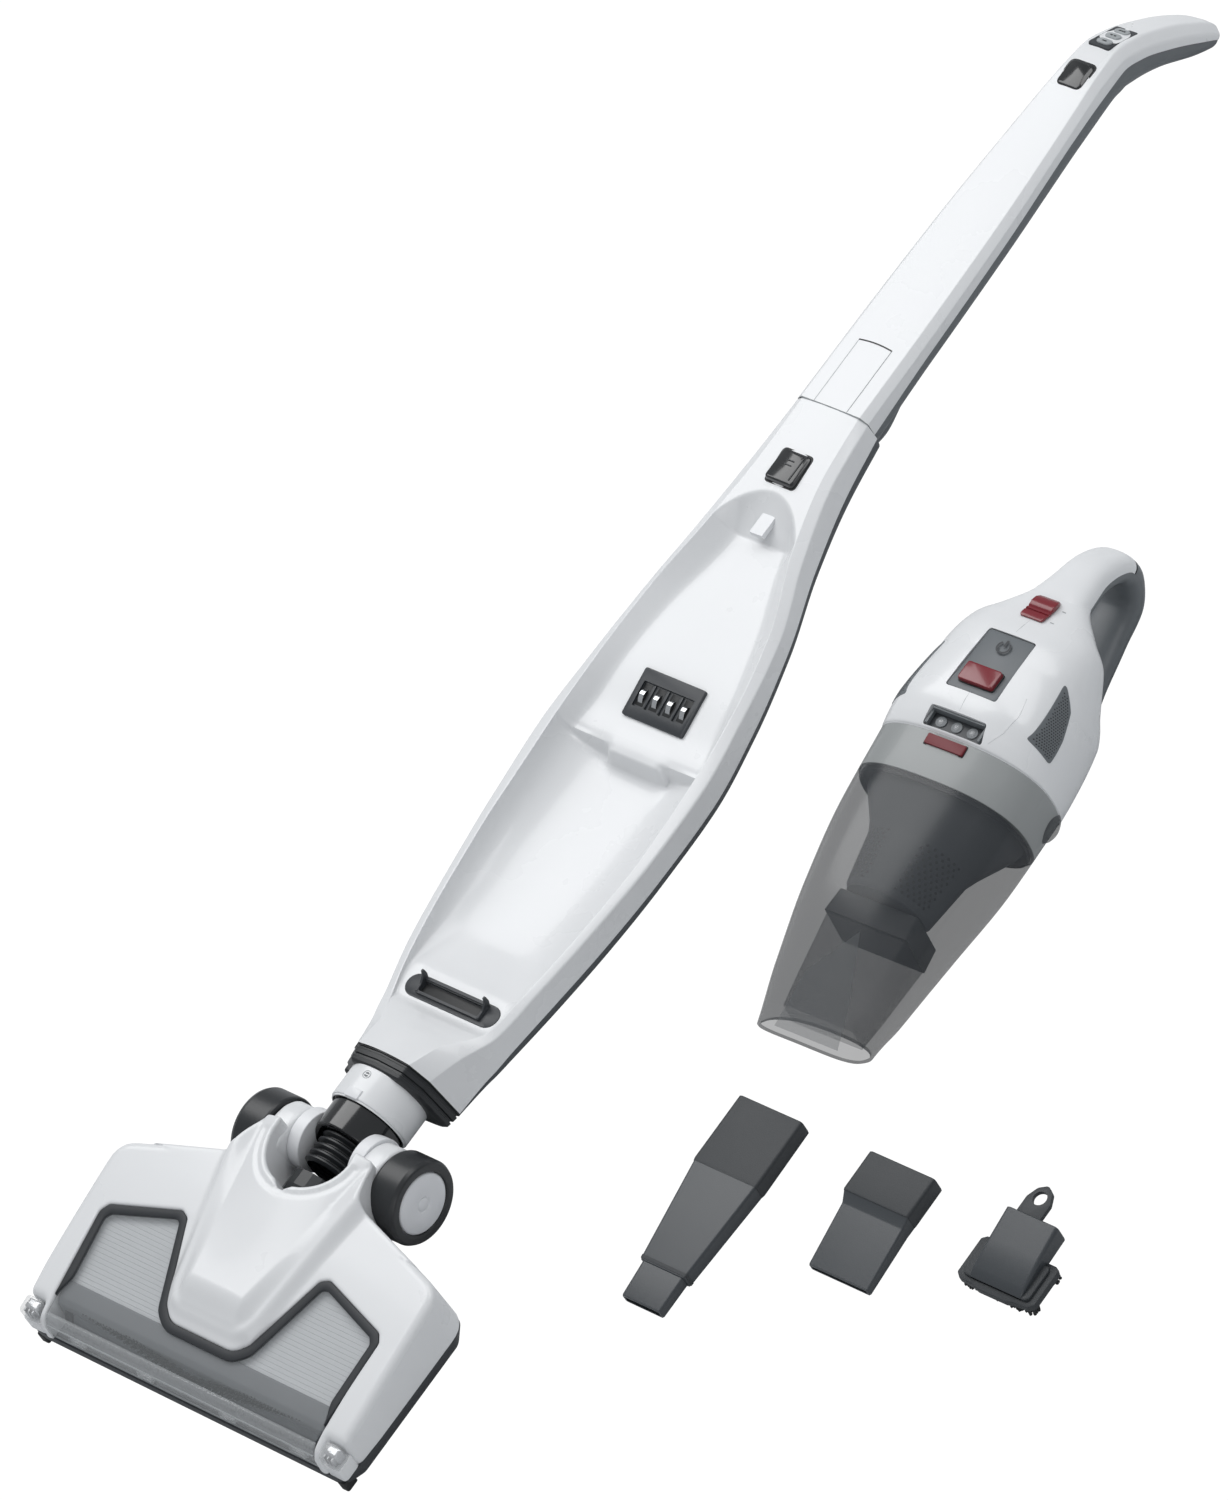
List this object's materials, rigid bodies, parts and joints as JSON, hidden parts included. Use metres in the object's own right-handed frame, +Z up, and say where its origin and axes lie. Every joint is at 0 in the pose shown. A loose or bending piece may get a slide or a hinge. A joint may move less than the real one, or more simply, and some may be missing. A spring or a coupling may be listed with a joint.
{
  "type": "cordless stick vacuum",
  "caption": "Cordless stick vacuum laid flat: floor head with driven brush and wheels, hinged cradle stick with handle, loose handheld unit with dust bin, and three loose nozzles",
  "frame": {"origin": "on the floor, below the middle of the whole laid-out set", "axes": "+Y runs along the stick from the floor head to the handle, +X across the floor head towards the loose pieces, +Z up from the floor"},
  "size_m": [0.568, 1.0486, 0.1003],
  "materials": {
    "white_plastic": "smooth gloss white moulding",
    "charcoal_plastic": "fine matt dark grey moulding",
    "grey_plastic": "satin mid grey moulding with a fine grain",
    "black_gloss": "gloss black",
    "black_matt": "matt black",
    "red_plastic": "gloss dark red",
    "nozzle_plastic": "matt charcoal with a faint grain",
    "smoked_clear": "smoked clear moulding",
    "lamp_clear": "clear lens",
    "soft_rubber": "soft black rubber",
    "wheel_tyre": "grey-black rubber",
    "spring_steel": "bright steel",
    "motor_steel": "plain steel can",
    "filter_cloth": "pleated filter cloth",
    "bristle": "stiff black bristle"
  },
  "bodies": {
    "head": {"head_shell": "white_plastic", "head_base": "black_matt", "brush_window": "smoked_clear", "window_gasket": "soft_rubber", "baffle_plate": "white_plastic", "headlight_left": "lamp_clear", "headlight_right": "lamp_clear", "head_duct": "black_matt", "brush_motor": "motor_steel", "drive_belt": "soft_rubber"},
    "brush": {"brush_roll": "bristle"},
    "pulley": {"motor_pulley": "black_matt"},
    "wheel_left": {"tyre_left": "wheel_tyre", "hub_left": "white_plastic"},
    "wheel_right": {"tyre_right": "wheel_tyre", "hub_right": "white_plastic"},
    "neck": {"neck_tube": "black_gloss", "neck_hose": "soft_rubber"},
    "stick": {"base_seal": "soft_rubber", "neck_collar": "white_plastic", "collar_screw": "spring_steel", "cradle_shell": "white_plastic", "cradle_back": "charcoal_plastic", "suction_duct": "black_matt", "dock_plate": "charcoal_plastic", "contact_plate": "charcoal_plastic", "contact_springs": "spring_steel", "tube_front": "white_plastic", "tube_rear": "grey_plastic", "handle_shell": "white_plastic", "handle_grip": "grey_plastic", "control_panel": "black_gloss"},
    "release": {"release_button": "black_gloss"},
    "latch": {"cradle_latch": "white_plastic"},
    "power": {"power_button": "black_gloss"},
    "key_1": {"mode_key_1": "grey_plastic"},
    "key_2": {"mode_key_2": "grey_plastic"},
    "key_3": {"mode_key_3": "grey_plastic"},
    "handheld": {"body_shell_left": "white_plastic", "body_shell_right": "white_plastic", "vent_left": "grey_plastic", "vent_right": "grey_plastic", "hand_panel": "grey_plastic", "hand_lamp": "black_gloss", "hand_handle_shell": "white_plastic", "hand_handle_grip": "grey_plastic", "hand_motor": "motor_steel", "hand_battery": "black_matt"},
    "fan": {"hand_fan": "black_matt"},
    "bin": {"dust_bin": "smoked_clear", "bin_inlet": "smoked_clear", "filter_cage": "charcoal_plastic", "filter_cloth": "filter_cloth"},
    "bin_button": {"bin_catch": "red_plastic"},
    "hand_power": {"hand_power_key": "red_plastic"},
    "hand_switch": {"hand_slide_switch": "red_plastic"},
    "crevice": {"crevice_nozzle": "nozzle_plastic"},
    "flat": {"flat_nozzle": "nozzle_plastic"},
    "brush_tool": {"brush_nozzle": "nozzle_plastic", "nozzle_bristles": "bristle"}
  },
  "joints": [
    {"name": "neck_pitch", "type": "hinge", "parent": "head", "child": "neck", "pos_m": [-0.156, -0.355, 0.031], "axis": [1, 0, 0], "range_deg": [0, 90]},
    {"name": "stick_swivel", "type": "hinge", "parent": "neck", "child": "stick", "pos_m": [-0.156, -0.321, 0.031], "axis": [0, 1, 0], "range_deg": [-80, 80]},
    {"name": "wheel_left_spin", "type": "hinge", "parent": "head", "child": "wheel_left", "pos_m": [-0.2105, -0.361, 0.0263], "axis": [1, 0, 0], "continuous": true},
    {"name": "wheel_right_spin", "type": "hinge", "parent": "head", "child": "wheel_right", "pos_m": [-0.1015, -0.361, 0.0263], "axis": [1, 0, 0], "continuous": true},
    {"name": "brush_spin", "type": "hinge", "parent": "head", "child": "brush", "pos_m": [-0.156, -0.504, 0.017], "axis": [1, 0, 0], "continuous": true},
    {"name": "pulley_spin", "type": "hinge", "parent": "head", "child": "pulley", "pos_m": [-0.255, -0.459, 0.019], "axis": [1, 0, 0], "continuous": true},
    {"name": "release_press", "type": "slide", "parent": "stick", "child": "release", "axis": [0, 0, -1], "range_m": [0, 0.0025], "stiffness_N_per_m": 300},
    {"name": "latch_slide", "type": "slide", "parent": "stick", "child": "latch", "axis": [0, 1, 0], "range_m": [0, 0.004]},
    {"name": "power_press", "type": "slide", "parent": "stick", "child": "power", "axis": [0, 0, -1], "range_m": [0, 0.0015], "stiffness_N_per_m": 300},
    {"name": "key_1_press", "type": "slide", "parent": "stick", "child": "key_1", "axis": [0, -0.4924, -0.8704], "range_m": [0, 0.0008], "stiffness_N_per_m": 300},
    {"name": "key_2_press", "type": "slide", "parent": "stick", "child": "key_2", "axis": [0, -0.4924, -0.8704], "range_m": [0, 0.0008], "stiffness_N_per_m": 300},
    {"name": "key_3_press", "type": "slide", "parent": "stick", "child": "key_3", "axis": [0, -0.4924, -0.8704], "range_m": [0, 0.0008], "stiffness_N_per_m": 300},
    {"name": "handheld_lift", "type": "slide", "parent": "head", "child": "handheld", "axis": [0, 0, 1], "range_m": [0, 0.3]},
    {"name": "fan_spin", "type": "hinge", "parent": "handheld", "child": "fan", "pos_m": [0.06187, 0.00697, 0.04731], "axis": [-0.061, 0.9981, 0], "continuous": true},
    {"name": "bin_slide", "type": "slide", "parent": "handheld", "child": "bin", "axis": [0.061, -0.9981, 0], "range_m": [0, 0.01]},
    {"name": "bin_button_press", "type": "slide", "parent": "bin", "child": "bin_button", "axis": [-0.087, -0.0053, -0.9962], "range_m": [0, 0.0015], "stiffness_N_per_m": 300},
    {"name": "hand_power_press", "type": "slide", "parent": "handheld", "child": "hand_power", "axis": [-0.087, -0.0053, -0.9962], "range_m": [0, 0.0015], "stiffness_N_per_m": 300},
    {"name": "hand_switch_slide", "type": "slide", "parent": "handheld", "child": "hand_switch", "axis": [-0.0876, 0.9331, -0.3489], "range_m": [0, 0.007]},
    {"name": "crevice_lift", "type": "slide", "parent": "head", "child": "crevice", "axis": [0, 0, 1], "range_m": [0, 0.3]},
    {"name": "flat_lift", "type": "slide", "parent": "head", "child": "flat", "axis": [0, 0, 1], "range_m": [0, 0.3]},
    {"name": "brush_tool_lift", "type": "slide", "parent": "head", "child": "brush_tool", "axis": [0, 0, 1], "range_m": [0, 0.3]}
  ],
  "couplings": [
    {"joint": "pulley_spin", "follows": "brush_spin", "ratio": 1.6818},
    {"joint": "latch_slide", "follows": "release_press", "ratio": 1.6}
  ]
}
